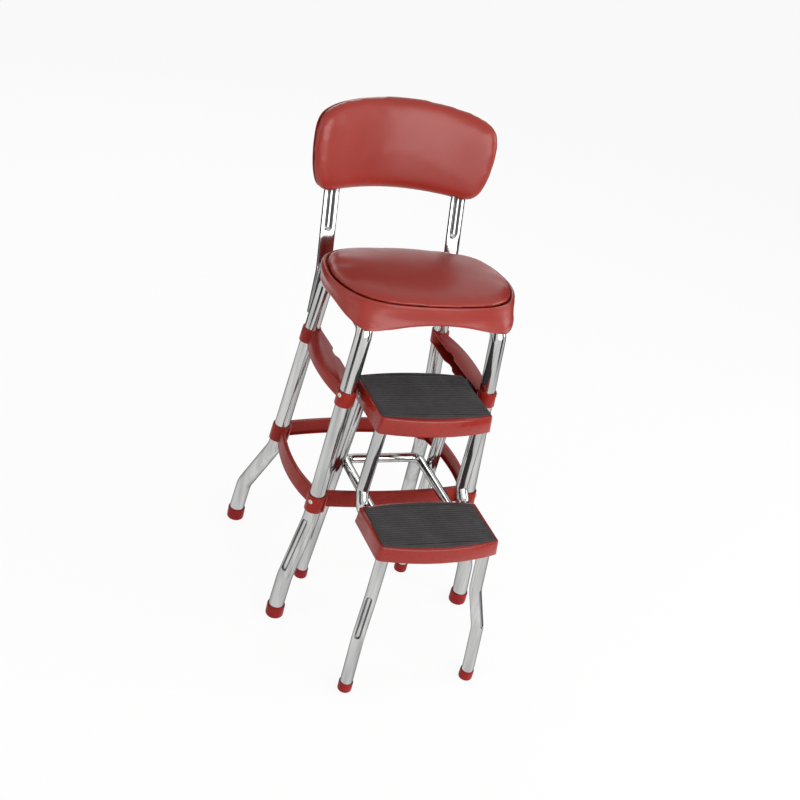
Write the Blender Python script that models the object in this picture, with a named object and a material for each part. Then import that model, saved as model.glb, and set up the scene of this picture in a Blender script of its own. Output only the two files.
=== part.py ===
"""Counter stool with a padded seat and backrest and a two-tread step unit that slides out in front.

All lengths are in metres, +Z is up, the steps come out towards -Y and X is the line of mirror symmetry.
Y values below are measured from the chair's own datum, and the last step moves the whole object so that
its box is centred on the origin.
"""
import bpy
import bmesh
import math
from mathutils import Vector

for stale in list(bpy.data.objects):
    bpy.data.objects.remove(stale, do_unlink=True)

# clearances
gap = 0.0003                  # between neighbours that touch in the real stool
pocket_gap = 0.0006           # round the posts inside the backrest pad

# chair legs: chromed tube
leg_r = 0.0143
leg_bend_r = 0.055
knee_z = 0.2100               # where the kick towards the foot starts
arch_z = 0.5890               # axis height of the stretch that runs under the seat
arch_split_y = -0.0700        # where the front and rear legs of one side meet under the seat
front_bend_z = 0.5740         # the front legs turn rearwards above this
front_arch_y = -0.1530        # and are level from here on
front_clamp = (0.1500, -0.1830, 0.2440)
front_lean_share = (-0.0700, 0.0430)     # sideways and rearward travel per height
front_shin = (0.1835, -0.1990, 0.0880)
front_foot = (0.1880, -0.2000, 0.0300)
rear_clamp = (0.1510, 0.0410, 0.2440)
rear_lean_share = (-0.0900, 0.0040)
rear_bend_z = 0.5700          # the rear legs turn forwards above this
rear_arch_y = 0.0224          # and are level from here on
rear_shin = (0.1825, 0.0900, 0.0880)
rear_foot = (0.1860, 0.0950, 0.0300)
chair_cap_wall = 0.0020
chair_cap_h = 0.0260
cap_floor = 0.0030
cap_round = 0.0030
dimple_r = 0.0090             # rounded trough pressed into the outside of each front leg
dimple_depth = 0.0032
front_dimple = (0.2000, 0.1080)      # top and bottom height of the trough on a chair leg
step_dimple = (0.1820, 0.1180)       # and on a step leg
dimple_turn_share = 0.5       # sideways part of the direction a trough faces

# clamped steel rails
sheet_t = 0.0018
ring_t = 0.0026
lower_ring_h = 0.0310
upper_ring_h = 0.0265
ring_r = leg_r + gap + ring_t
lower_ring_z = 0.2440
upper_ring_z = 0.4570
lower_band_h = 0.0305
lower_lip = 0.0075
lower_side_plan = [(0.1510, 0.0410), (0.1590, 0.0150), (0.1650, -0.0150), (0.1685, -0.0450),
                   (0.1695, -0.0750), (0.1680, -0.1050), (0.1630, -0.1360), (0.1560, -0.1615),
                   (0.1500, -0.1830)]
front_band_y = -0.1790
front_band_bow = 0.0090
rear_band_y = 0.0525
rear_band_bow = 0.0105
band_stations = 13
tab_t = 0.0022
tab_h = 0.0292
tab_spread = math.radians(52)
arc_steps = 8
upper_band_h = 0.0250
upper_flange_x = 0.1140       # inner edge of the side rail's flanges
upper_side_plan = [(0.1320, 0.0418), (0.1415, 0.0180), (0.1475, -0.0120), (0.1505, -0.0400),
                   (0.1510, -0.0680), (0.1500, -0.0960), (0.1470, -0.1230), (0.1420, -0.1490),
                   (0.1351, -0.1738)]
notch_depth = 0.0050          # shallow cut-out in the flanges' inner edge
notch_front_y = -0.0640
notch_rear_y = -0.0320

# screws and rivets
screw_r = 0.0042
screw_h = 0.0022
# direction from the leg's axis to each clamp screw, and its height above the collar's middle
screw_spots = {("lower", "front"): ((0.810, -0.585, 0), 0.0060),
               ("upper", "front"): ((0.910, -0.410, 0), 0.0075),
               ("lower", "rear"): ((0.450, 0.890, 0), 0.0), ("upper", "rear"): ((0.450, 0.890, 0), 0.0)}
rivet_r = 0.0046
rivet_h = 0.0018
rivet_y = -0.1640
rivet_level_share = 0.6       # how far down the upper tray's side the rivets sit
# radius and height shares of a screw, bolt or rivet head, from its seat to near its top
head_shares = ((1.0, 0.0), (1.0, 0.55), (0.72, 0.9))

# seat
seam_half = [(0.0000, -0.1870), (0.0600, -0.1842), (0.1040, -0.1760), (0.1400, -0.1570), (0.1640, -0.1250),
             (0.1745, -0.0860), (0.1725, -0.0480), (0.1645, -0.0150), (0.1475, 0.0090), (0.1170, 0.0270),
             (0.0700, 0.0375), (0.0000, 0.0410)]
hem_half = [(0.0000, -0.1890, 0.6138), (0.0500, -0.1890, 0.6097), (0.0950, -0.1890, 0.5995),
            (0.1330, -0.1840, 0.5930), (0.1570, -0.1540, 0.6015), (0.1690, -0.1070, 0.6100),
            (0.1695, -0.0600, 0.6070), (0.1620, -0.0210, 0.6040), (0.1445, 0.0040, 0.6040),
            (0.1150, 0.0225, 0.6040), (0.0680, 0.0330, 0.6040), (0.0000, 0.0365, 0.6040)]
pan_top_z = 0.6330
pan_plate_t = 0.0035
skirt_t = 0.0025
waist_share = 0.5             # where down the skirt its middle row of corners sits
pan_edge_round = 0.0020
# ring insets and heights of the cushion above the pan, from its edge to its crown
cushion_rings = [(0.0030, 0.0000), (0.0008, 0.0028), (0.0000, 0.0058), (0.0012, 0.0095), (0.0060, 0.0132),
                 (0.0160, 0.0162), (0.0360, 0.0188), (0.0680, 0.0210)]
cushion_crown = 0.0225
seat_rail_w = 0.0220
seat_rail_front_y = -0.1500
seat_rail_rear_y = 0.0000

# backrest
back_ref_z = 0.7160
back_surface_y = 0.1225
back_lean_share = 0.150       # rearward travel per height
back_bow = 0.0430             # how far the ends come forward
back_half_w = 0.1758
back_half = [(0.0000, 0.7195), (0.0500, 0.7185), (0.0900, 0.7165), (0.1200, 0.7150), (0.1425, 0.7165),
             (0.1575, 0.7270), (0.1680, 0.7510), (0.1740, 0.7820), (0.1758, 0.8120), (0.1735, 0.8385),
             (0.1620, 0.8575), (0.1360, 0.8695), (0.1000, 0.8765), (0.0500, 0.8815), (0.0000, 0.8830)]
heart_shares = (0.72, 0.40)   # rows of corners between the pad's edge and its middle
pad_rings = [(0.0040, 0.0070), (0.0010, 0.0050), (0.0000, 0.0000), (0.0010, -0.0060), (0.0050, -0.0110),
             (0.0130, -0.0145), (0.0280, -0.0165)]
pad_crown = -0.0185
cover_rings = [(0.0040, 0.0073), (0.0025, 0.0095), (0.0070, 0.0115), (0.0180, 0.0125)]
cover_crown = 0.0132

# backrest posts: pressed steel strip with a groove down its front face
post_x = 0.1250
post_w = 0.0280
post_t = 0.0060
post_low_z = 0.4920
post_top_z = 0.8000
post_line_y = 0.0990          # post centre at the reference height
post_lean_share = 0.285       # below the pad; inside it the posts lean as the pad does
post_turn_z = 0.7120
post_bend_r = 0.0500
groove_w = 0.0100
groove_depth = 0.0024
groove_low_z = 0.6620
pocket_run = 0.0200           # how far below the turn the pad's pocket starts
post_edge_round = 0.0018
post_bolt_z = 0.5350
post_bolt_r = 0.0060
post_bolt_h = 0.0040

# step unit: trays, treads and tube
step_r = 0.0111
step_bend_r = 0.0300
mid_bend_r = 0.0220
step_cap_wall = 0.0013
step_cap_h = 0.0200
tray_t = 0.0018
upper_tray_h = 0.0300
tray_round = 0.0025
tray_flare = 0.0030           # how far a tray's apron spreads from its top edge to its foot
tray_corner = 0.0060
tread_corner = 0.0035
upper_tray_z = 0.4730
upper_tray = dict(front_w=0.1045, front_y=-0.2640, front_bow=0.0140,
                  rear_w=0.1045, rear_y=-0.1290, rear_bow=0.0093)
lower_tray_z = 0.2980
lower_tray_h = 0.0260
lower_tray = dict(front_w=0.1110, front_y=-0.3860, front_bow=0.0155,
                  rear_w=0.1120, rear_y=-0.2750, rear_bow=0.0090)
upper_tread = dict(front_w=0.1020, front_y=-0.2595, front_bow=0.0090,
                   rear_w=0.1010, rear_y=-0.1323, rear_bow=0.0093)
lower_tread = dict(front_w=0.1065, front_y=-0.3830, front_bow=0.0118,
                   rear_w=0.1035, rear_y=-0.2820, rear_bow=0.0110)
edge_steps = 8
corner_shares = (0.0, 0.25, 0.5, 0.75, 1.0)
tray_round_share = 0.3        # inset of the middle row of corners round a tray's top edge
tread_t = 0.0026
tread_edge_inset = 0.0012
tube_inset = 0.0175           # a front step leg's axis to the lower tray's side
mid_inset_top = 0.0138        # a mid tube's axis to the upper tray's side, at its top
mid_inset_low = 0.0087        # and at its knee
mid_inset_foot = 0.0130       # its axis to the lower tray's side, behind the tray
mid_inset_end = 0.0235        # and at its end under the tray
step_front_leg = [(lower_tray["front_w"] - tube_inset, -0.3720, 0.2800), (0.0995, -0.3780, 0.1850),
                  (0.1145, -0.3975, 0.1150), (0.1180, -0.4040, 0.0300)]
step_rear_leg = [(0.0872, -0.1426, 0.4400), (0.1055, -0.0970, 0.0300)]
mid_tube_top = (upper_tray["front_w"] - mid_inset_top, -0.2480)
mid_tube_knee = (upper_tray["front_w"] - mid_inset_low, -0.2430, 0.3100)
mid_tube_foot = (lower_tray["front_w"] - mid_inset_foot, -0.2620)
mid_tube_end = (lower_tray["front_w"] - mid_inset_end, -0.3300)

# tube brace behind the lower tread: a U whose arms lie along the rear step legs
brace_r = 0.0087
brace_z = 0.2770
brace_back_y = -0.1020
brace_end_y = -0.2850
brace_bend_r = 0.0180
brace_play = 0.0017           # beside the brace in the lower tray's notch
notch_run = 0.0300

# guide rollers that run in the upper side rails
roller_r = 0.0102
roller_w = 0.0100
roller_y = -0.1330
roller_stem_r = 0.0042

# facets
tube_sides = 20
brace_sides = 16
groove_sides = 12
disc_sides = 14
bend_steps = 5
curve_steps = 3
reach_share = 0.48            # most of a straight that one bend may take up
steep_share = 0.8             # slope past which a sweep takes its bearings from another axis

palette = {
    "chrome": ((0.62, 0.62, 0.64, 1), 1.0, 0.12),
    "red_steel": ((0.42, 0.025, 0.025, 1), 0.0, 0.35),
    "red_vinyl": ((0.45, 0.030, 0.022, 1), 0.0, 0.45),
    "red_cap": ((0.40, 0.018, 0.018, 1), 0.0, 0.50),
    "black_rubber": ((0.030, 0.028, 0.028, 1), 0.0, 0.75),
    "zinc": ((0.70, 0.68, 0.60, 1), 1.0, 0.30),
    "nylon": ((0.05, 0.05, 0.05, 1), 0.0, 0.55),
}


def colour(node, kind):
    """Give an object its own Principled material."""
    base, metal, rough = palette[kind]
    mat = bpy.data.materials.new(node.name)
    mat.use_nodes = True
    shader = mat.node_tree.nodes["Principled BSDF"]
    shader.inputs["Base Color"].default_value = base
    shader.inputs["Metallic"].default_value = metal
    shader.inputs["Roughness"].default_value = rough
    node.data.materials.append(mat)


def make(name, verts, faces, kind=None):
    """One closed body, faces turned outwards. With no material kind it is a cutter."""
    mesh = bpy.data.meshes.new(name)
    bm = bmesh.new()
    made = [bm.verts.new(v) for v in verts]
    for face in faces:
        bm.faces.new([made[i] for i in face])
    bmesh.ops.recalc_face_normals(bm, faces=bm.faces[:])
    bm.to_mesh(mesh)
    bm.free()
    node = bpy.data.objects.new(name, mesh)
    bpy.context.scene.collection.objects.link(node)
    if kind:
        colour(node, kind)
    else:
        node.hide_render = True
        node.display_type = 'WIRE'
    return node


def skin(name, loops, kind=None, start=None, end=None):
    """Skin closed loops of equal length. start and end are poles, or None for a flat face."""
    n = len(loops[0])
    verts = [tuple(v) for loop in loops for v in loop]
    faces = []
    for k in range(len(loops) - 1):
        for i in range(n):
            j = (i + 1) % n
            faces.append((k * n + i, k * n + j, (k + 1) * n + j, (k + 1) * n + i))
    last = (len(loops) - 1) * n
    if start is None:
        faces.append(tuple(range(n)))
    else:
        verts.append(tuple(start))
        faces += [(len(verts) - 1, (i + 1) % n, i) for i in range(n)]
    if end is None:
        faces.append(tuple(range(last, last + n)))
    else:
        verts.append(tuple(end))
        faces += [(len(verts) - 1, last + i, last + (i + 1) % n) for i in range(n)]
    return make(name, verts, faces, kind)


def cut(node, tool, operation='DIFFERENCE'):
    mod = node.modifiers.new(operation.lower(), 'BOOLEAN')
    mod.operation = operation
    mod.solver = 'EXACT'
    mod.object = tool


def mirror(points, side):
    return [(side * p[0],) + tuple(p[1:]) for p in points]


def rounded(points, radius, steps=bend_steps):
    """Round the inner corners of an open polyline."""
    pts = [Vector(p) for p in points]
    out = [pts[0]]
    for a, b, c in zip(pts, pts[1:], pts[2:]):
        into, away = (a - b), (c - b)
        turn = into.angle(away)
        reach = min(radius * abs(1.0 / math.tan(turn / 2)), into.length * reach_share,
                    away.length * reach_share)
        p, q = b + into.normalized() * reach, b + away.normalized() * reach
        for s in range(steps + 1):
            t = s / steps
            out.append(p * (1 - t) ** 2 + b * (2 * t * (1 - t)) + q * t ** 2)
    out.append(pts[-1])
    clean = [out[0]]
    for p in out[1:]:
        if (p - clean[-1]).length > gap:
            clean.append(p)
    return clean


def sweep_loops(path, profile, flat_start=False, flat_end=False):
    """Carry a profile of (across, along-up) points down a path, square to it."""
    loops = []
    for i, p in enumerate(path):
        a = path[max(i - 1, 0)]
        b = path[min(i + 1, len(path) - 1)]
        run = (b - a).normalized()
        if (i == 0 and flat_start) or (i == len(path) - 1 and flat_end):
            run = Vector((0, 0, -1 if path[-1].z < path[0].z else 1))
        across = Vector((1, 0, 0))
        if abs(run.x) > steep_share:
            across = Vector((0, 0, 1))
        across = (across - run * across.dot(run)).normalized()
        other = run.cross(across)
        loops.append([p + across * u + other * v for u, v in profile])
    return loops


def circle(radius, sides):
    return [(radius * math.cos(2 * math.pi * k / sides), radius * math.sin(2 * math.pi * k / sides))
            for k in range(sides)]


def tube(name, path, radius, kind=None, sides=tube_sides, flat_start=False, flat_end=False):
    return skin(name, sweep_loops([Vector(p) for p in path], circle(radius, sides), flat_start, flat_end), kind)


def disc(name, centre, axis, radius, height, kind, sides=disc_sides):
    """A low domed head. Its flat face is at centre and it rises along axis."""
    run = Vector(axis).normalized()
    base = Vector(centre)
    ref = Vector((0, 0, 1)) if abs(run.z) < steep_share else Vector((1, 0, 0))
    u = run.cross(ref).normalized()
    v = run.cross(u)
    ring = circle(1.0, sides)
    loops = [[base + run * (height * h) + (u * a + v * b) * (radius * r) for a, b in ring]
             for r, h in head_shares]
    return skin(name, loops, kind, end=base + run * height)


def at_height(points, z):
    """Point of a leg's centre line at a height."""
    for a, b in zip(points, points[1:]):
        if min(a[2], b[2]) <= z <= max(a[2], b[2]):
            t = (z - a[2]) / (b[2] - a[2])
            return Vector(a) * (1 - t) + Vector(b) * t
    return Vector(points[0])


def smooth_closed(half, steps=curve_steps):
    """Catmull-Rom loop through a half outline and its mirror image."""
    right = [Vector(p) for p in half]
    left = [Vector((-p[0],) + tuple(p[1:])) for p in half[-2:0:-1]]
    pts = right + left
    n = len(pts)
    out = []
    for i in range(n):
        p0, p1, p2, p3 = pts[i - 1], pts[i], pts[(i + 1) % n], pts[(i + 2) % n]
        for s in range(steps):
            t = s / steps
            out.append(0.5 * ((2 * p1) + (p2 - p0) * t + (2 * p0 - 5 * p1 + 4 * p2 - p3) * t ** 2
                              + (3 * p1 - p0 - 3 * p2 + p3) * t ** 3))
    return out


def inset(loop, distance):
    """Move a closed plan loop inwards. It runs counter-clockwise from the front."""
    n = len(loop)
    out = []
    for i in range(n):
        run = (loop[(i + 1) % n] - loop[i - 1]).to_2d().normalized()
        shifted = loop[i].copy()
        shifted.x -= run.y * distance
        shifted.y += run.x * distance
        out.append(shifted)
    return out


def lift(loop, z):
    return [Vector((p.x, p.y, z)) for p in loop]


def middle(loop, z):
    return Vector((0, sum(p.y for p in loop) / len(loop), z))


# legs, caps and clamp rings
def straight(clamp, lean_share, z):
    rise = z - clamp[2]
    return (clamp[0] + lean_share[0] * rise, clamp[1] + lean_share[1] * rise, z)


front_corner = Vector(straight(front_clamp, front_lean_share, arch_z))
rear_corner = Vector(straight(rear_clamp, rear_lean_share, arch_z))


def under_seat(y):
    """Point at a Y on the level line between the tops of one side's two legs."""
    return tuple(front_corner.lerp(rear_corner, (y - front_corner.y) / (rear_corner.y - front_corner.y)))


front_leg = [under_seat(arch_split_y - gap / 2), under_seat(front_arch_y),
             straight(front_clamp, front_lean_share, front_bend_z),
             straight(front_clamp, front_lean_share, knee_z), front_shin, front_foot]
rear_leg = [under_seat(arch_split_y + gap / 2), under_seat(rear_arch_y),
            straight(rear_clamp, rear_lean_share, rear_bend_z),
            straight(rear_clamp, rear_lean_share, knee_z), rear_shin, rear_foot]


def cap(name, x, y, radius, wall, height):
    rim = circle(1.0, tube_sides)
    outer = radius + gap + wall
    steps = [(outer - cap_round, 0.0), (outer, cap_round), (outer, height - cap_round / 2),
             (outer - cap_round / 3, height), (radius + gap, height), (radius + gap, cap_floor)]
    loops = [[Vector((x + a * r, y + b * r, z)) for a, b in rim] for r, z in steps]
    return skin(name, loops, "red_cap")


def leg(name, points, radius, bend, dimple, side, flat_start=True):
    line = rounded(mirror(points, side), bend)
    line.append(Vector((side * points[-1][0], points[-1][1], cap_floor + gap)))
    node = tube(name, line, radius, "chrome", flat_start=flat_start, flat_end=True)
    if dimple:
        top = at_height(mirror(points, side), dimple[0])
        low = at_height(mirror(points, side), dimple[1])
        out = Vector((side * dimple_turn_share, -1, 0)).normalized() * (radius + dimple_r - dimple_depth)
        groove = tube(name + "_dimple_cutter", [top + out, low + out], dimple_r, sides=groove_sides)
        cut(node, groove)
    return node


for word, side in (("left", -1), ("right", 1)):
    for row, points in (("front", front_leg), ("rear", rear_leg)):
        leg(f"chair_leg_{row}_{word}", points, leg_r, leg_bend_r,
            front_dimple if row == "front" else None, side, flat_start=False)
        foot = points[-1]
        cap(f"chair_foot_{row}_{word}", side * foot[0], foot[1], leg_r, chair_cap_wall, chair_cap_h)


def ring(name, points, side, z, radius, height, kind=None, start=0.0, stop=2 * math.pi, inner=None):
    """Upright collar that follows the leg's lean. An arc of it when start and stop are given."""
    centre = at_height(mirror(points, side), z)
    above = at_height(mirror(points, side), z + height)
    lean = (above - centre) / height
    loops = []
    for h in (-height / 2, height / 2):
        c = centre + lean * h
        if inner is None:
            loops.append([c + Vector((a, b, 0)) for a, b in circle(radius, tube_sides)])
        else:
            angles = [start + (stop - start) * k / arc_steps for k in range(arc_steps + 1)]
            outside = [c + Vector((radius * math.cos(t), radius * math.sin(t), 0)) for t in angles]
            inside = [c + Vector((inner * math.cos(t), inner * math.sin(t), 0)) for t in reversed(angles)]
            loops.append(outside + inside)
    return skin(name, loops, kind)


def channel(name, plan, z, height, flange, side=1, lean_share=0.0, kind="red_steel", along=None):
    """Bent sheet rail: a web on the plan line with a lip or flange inwards at its top and foot.

    flange gives the flange width at each station, so that a rail can have a straight inner edge.
    """
    pts = [Vector(p) for p in plan]
    loops = []
    for i, p in enumerate(pts):
        run = (pts[min(i + 1, len(pts) - 1)] - pts[max(i - 1, 0)]).normalized()
        inward = Vector((run.y, -run.x)) if along is None else Vector(along)
        if along is None and inward.x > 0:
            inward = -inward
        w = flange(p)
        t = sheet_t
        top, low = z + height / 2, z - height / 2
        ring_pts = [(0, low), (0, top), (w, top), (w, top - t), (t, top - t), (t, low + t), (w, low + t),
                    (w, low)]
        loop = []
        for reach, level in ring_pts:
            q = p + inward * reach
            if along is None:
                loop.append(Vector((side * (q.x + lean_share * (level - z)), q.y, level)))
            else:
                loop.append(Vector((q.x, q.y + lean_share * (level - z), level)))
        loops.append(loop)
    return skin(name, loops, kind)


def finer(plan, steps=2):
    out = []
    pts = [Vector(p) for p in plan]
    for i in range(len(pts) - 1):
        p0, p1, p2, p3 = pts[max(i - 1, 0)], pts[i], pts[i + 1], pts[min(i + 2, len(pts) - 1)]
        for s in range(steps):
            t = s / steps
            out.append(0.5 * ((2 * p1) + (p2 - p0) * t + (2 * p0 - 5 * p1 + 4 * p2 - p3) * t ** 2
                              + (3 * p1 - p0 - 3 * p2 + p3) * t ** 3))
    out.append(pts[-1])
    return out


for word, side in (("left", -1), ("right", 1)):
    for level, plan, z, height, collar, flange in (
            ("lower", lower_side_plan, lower_ring_z, lower_band_h, lower_ring_h, lambda p: lower_lip),
            ("upper", upper_side_plan, upper_ring_z, upper_band_h, upper_ring_h,
             lambda p: p.x - upper_flange_x - (notch_depth if notch_front_y < p.y < notch_rear_y else 0))):
        node = channel(f"{level}_rail_{word}", finer(plan), z, height, flange, side, front_lean_share[0])
        for row, points in (("front", front_leg), ("rear", rear_leg)):
            cut(node, ring(f"{level}_rail_{word}_{row}_ring_cutter", points, side, z, ring_r, collar), 'UNION')
        for row, points in (("front", front_leg), ("rear", rear_leg)):
            cut(node, ring(f"{level}_rail_{word}_{row}_bore_cutter", points, side, z, leg_r + gap, 2 * collar))

# front and rear rails of the lower ring, with tabs that lap the side rails' collars
for row, points, mid_y, bow, facing in (("front", front_leg, front_band_y, -front_band_bow, 1),
                                        ("rear", rear_leg, rear_band_y, rear_band_bow, -1)):
    corner = at_height(points, lower_ring_z)
    aside = mid_y - corner.y
    reach_x = corner.x - math.sqrt((ring_r + gap + tab_t / 2) ** 2 - aside ** 2)
    plan = []
    for k in range(band_stations):
        share = -1 + 2 * k / (band_stations - 1)
        plan.append((share * reach_x, mid_y + bow * (1 - share ** 2)))
    lean = front_lean_share[1] if row == "front" else rear_lean_share[1]
    node = channel(f"lower_rail_{row}", plan, lower_ring_z, lower_band_h, lambda p: lower_lip,
                   lean_share=lean, along=(0, facing))
    for word, side in (("left", -1), ("right", 1)):
        mid_angle = math.pi if side > 0 else 0.0
        tab = ring(f"lower_rail_{row}_{word}_tab_cutter", points, side, lower_ring_z, ring_r + gap + tab_t,
                   tab_h, start=mid_angle - tab_spread, stop=mid_angle + tab_spread, inner=ring_r + gap)
        cut(node, tab, 'UNION')
        cut(node, ring(f"lower_rail_{row}_{word}_bore_cutter", points, side, lower_ring_z, ring_r + gap,
                       2 * lower_ring_h))

# clamp screws on the collars, turned towards the outside corners
for word, side in (("left", -1), ("right", 1)):
    for row, points in (("front", front_leg), ("rear", rear_leg)):
        for level, z in (("lower", lower_ring_z), ("upper", upper_ring_z)):
            turn, above = screw_spots[level, row]
            out = Vector(mirror([turn], side)[0]).normalized()
            spot = at_height(mirror(points, side), z + above) + out * (ring_r + gap)
            disc(f"clamp_screw_{level}_{row}_{word}", spot, out, screw_r, screw_h, "zinc")

# seat: a pan with a deep skirt, a cushion, and two bearers on the legs' level stretches
seam = smooth_closed([p + (pan_top_z,) for p in seam_half])
hem = smooth_closed(hem_half)
inner_hem = [Vector((p.x, p.y, p.z)) for p in inset(hem, skirt_t)]
ceiling_z = pan_top_z - pan_plate_t
waist = [a.lerp(b, waist_share) for a, b in zip(seam, hem)]
skin("seat_pan",
     [lift(inset(seam, pan_edge_round), pan_top_z), lift(seam, pan_top_z - pan_edge_round),
      [Vector((p.x, p.y, p.z)) for p in waist], hem, inner_hem, lift(inset(seam, skirt_t), ceiling_z)],
     "red_vinyl", start=middle(seam, pan_top_z), end=middle(seam, ceiling_z))
cushion = [lift(inset(seam, d), pan_top_z + gap + h) for d, h in cushion_rings]
skin("seat_cushion", cushion, "red_vinyl", start=middle(seam, pan_top_z + gap),
     end=middle(seam, pan_top_z + gap + cushion_crown))
for word, side in (("left", -1), ("right", 1)):
    ends = [Vector(mirror([under_seat(y)], side)[0]) for y in (seat_rail_front_y, seat_rail_rear_y)]
    low, high = arch_z + leg_r + gap, ceiling_z - gap
    base = [ends[0] + Vector((-seat_rail_w / 2, 0, 0)), ends[0] + Vector((seat_rail_w / 2, 0, 0)),
            ends[1] + Vector((seat_rail_w / 2, 0, 0)), ends[1] + Vector((-seat_rail_w / 2, 0, 0))]
    skin(f"seat_bearer_{word}", [lift(base, low), lift(base, high)], "zinc")


# backrest pad and its rear cover, bent to a shallow curve and leaning back
def back_point(x, z, depth):
    slope = 2 * back_bow * x / back_half_w ** 2
    y = back_surface_y + back_lean_share * (z - back_ref_z) - back_bow * (x / back_half_w) ** 2
    normal = Vector((slope, 1, -back_lean_share)).normalized()
    return Vector((x, y, z)) + normal * depth


def back_skin(name, rings, crown, kind):
    outline = smooth_closed([(x, z, 0) for x, z in back_half], 2)
    loops = [[back_point(p.x, p.y, depth) for p in inset(outline, d)] for d, depth in rings]
    heart = sum(p.y for p in outline) / len(outline)
    inner = []
    for share in heart_shares:
        near = rings[-1][1]
        depth = near + (crown - near) * (1 - share ** 2)
        last = inset(outline, rings[-1][0])
        inner.append([back_point(p.x * share, heart + (p.y - heart) * share, depth) for p in last])
    flat = rings[0]
    first = inset(outline, flat[0])
    back_inner = []
    for share in reversed(heart_shares):
        back_inner.append([back_point(p.x * share, heart + (p.y - heart) * share, flat[1]) for p in first])
    return skin(name, back_inner + loops + inner, kind, start=back_point(0, heart, flat[1]),
                end=back_point(0, heart, crown))


pad = back_skin("backrest_pad", pad_rings, pad_crown, "red_vinyl")
back_skin("backrest_cover", cover_rings, cover_crown, "red_vinyl")


# posts: straight behind the rear legs, then leaning back into the pad
def post_path(low_z, top_z):
    foot_y = rear_leg[2][1] + leg_r + gap + post_t / 2
    bend_z = back_ref_z - (post_line_y - foot_y) / post_lean_share
    turn_y = post_line_y + post_lean_share * (post_turn_z - back_ref_z)
    return [(foot_y, low_z), (foot_y, bend_z), (turn_y, post_turn_z),
            (turn_y + back_lean_share * (top_z - post_turn_z), top_z)]


for word, side in (("left", -1), ("right", 1)):
    line = rounded([(side * post_x, y, z) for y, z in post_path(post_low_z, post_top_z)], post_bend_r)
    w, t, r = post_w / 2, post_t / 2, post_edge_round
    outline = [(-w + r, -t), (w - r, -t), (w, -t + r), (w, t - r), (w - r, t), (-w + r, t), (-w, t - r),
               (-w, -t + r)]
    post = skin(f"back_post_{word}", sweep_loops(line, outline), "chrome")
    high = [p for p in line if p.z > post_turn_z - pocket_run]
    tip = (high[-1] - high[-2]).normalized()
    first = high[0] + (high[0] - high[1]).normalized() * ((high[0].z - groove_low_z))
    g, d = groove_w / 2, groove_depth
    groove = skin(f"back_post_{word}_groove_cutter",
                  sweep_loops([first] + high + [line[-1] + tip * post_t],
                              [(-g, -t - d), (g, -t - d), (g, -t + d), (-g, -t + d)]))
    cut(post, groove)
    wide, deep = w + pocket_gap, t + pocket_gap
    pocket = skin(f"backrest_pocket_{word}_cutter",
                  sweep_loops(high[:-1] + [line[-1] + tip * pocket_gap],
                              [(-wide, -deep), (wide, -deep), (wide, deep), (-wide, deep)]))
    cut(pad, pocket)
    rear = rear_leg[2][1] + leg_r + gap + post_t + gap
    disc(f"post_bolt_{word}", (side * post_x, rear, post_bolt_z), (0, 1, 0), post_bolt_r, post_bolt_h, "zinc")


# trays of the step unit
def tray_outline(corner, front_w, front_y, front_bow, rear_w, rear_y, rear_bow, steps=edge_steps):
    front = [Vector((-front_w + 2 * front_w * k / steps, 0, 0)) for k in range(steps + 1)]
    for p in front:
        p.y = front_y - front_bow * (1 - (p.x / front_w) ** 2)
    back = [Vector((rear_w - 2 * rear_w * k / steps, 0, 0)) for k in range(steps + 1)]
    for p in back:
        p.y = rear_y + rear_bow * (1 - (p.x / rear_w) ** 2)
    ring_pts = front + back
    corners = {0, steps, steps + 1, 2 * steps + 1}
    out = []
    n = len(ring_pts)
    for i, p in enumerate(ring_pts):
        if i not in corners:
            out.append(p)
            continue
        a, c = ring_pts[i - 1], ring_pts[(i + 1) % n]
        p1, p2 = p + (a - p).normalized() * corner, p + (c - p).normalized() * corner
        out += [p1 * (1 - t) ** 2 + p * (2 * t * (1 - t)) + p2 * t ** 2 for t in corner_shares]
    return out


def tray(name, plan, top, height):
    low = top - height
    soft = tray_round * tray_round_share
    foot = inset(plan, -tray_flare)
    loops = [lift(inset(plan, tray_round), top), lift(inset(plan, soft), top - soft),
             lift(plan, top - tray_round), lift(foot, low), lift(inset(foot, tray_t), low),
             lift(inset(plan, tray_t), top - tray_t)]
    return skin(name, loops, "red_steel")


def apron_x(size, height, y, drop):
    """Half width of a tray's apron at a Y and a drop below its top, with its plan taper and its lean."""
    depth = size["rear_y"] - size["front_y"]
    taper = (size["front_w"] - size["rear_w"]) / depth
    rise = tray_flare / (height - tray_round)
    return size["rear_w"] + taper * (size["rear_y"] - y) + rise * (drop - tray_round), taper, rise


def tread(name, plan, top):
    loops = [lift(plan, top + gap), lift(plan, top + gap + tread_t - tread_edge_inset),
             lift(inset(plan, tread_edge_inset), top + gap + tread_t)]
    return skin(name, loops, "black_rubber")


tray("upper_tray", tray_outline(tray_corner, **upper_tray), upper_tray_z, upper_tray_h)
lower_pan = tray("lower_tray", tray_outline(tray_corner, **lower_tray), lower_tray_z, lower_tray_h)
tread("upper_tread", tray_outline(tread_corner, **upper_tread), upper_tray_z)
tread("lower_tread", tray_outline(tread_corner, **lower_tread), lower_tray_z)
upper_ceiling = upper_tray_z - tray_t
lower_ceiling = lower_tray_z - tray_t
rear_line = [(step_rear_leg[0][0], step_rear_leg[0][1], upper_ceiling - gap), step_rear_leg[1]]
run_z = lower_ceiling - gap - step_r
leg_at = at_height(rear_line, brace_z)
forward = (brace_end_y - mid_tube_foot[1]) / (mid_tube_end[1] - mid_tube_foot[1])
mid_x = mid_tube_foot[0] + (mid_tube_end[0] - mid_tube_foot[0]) * forward
beside_leg = leg_at.x - step_r - gap - brace_r
beside_mid = mid_x - math.sqrt((step_r + brace_r + 2 * gap) ** 2 - (run_z - brace_z) ** 2)


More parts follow.
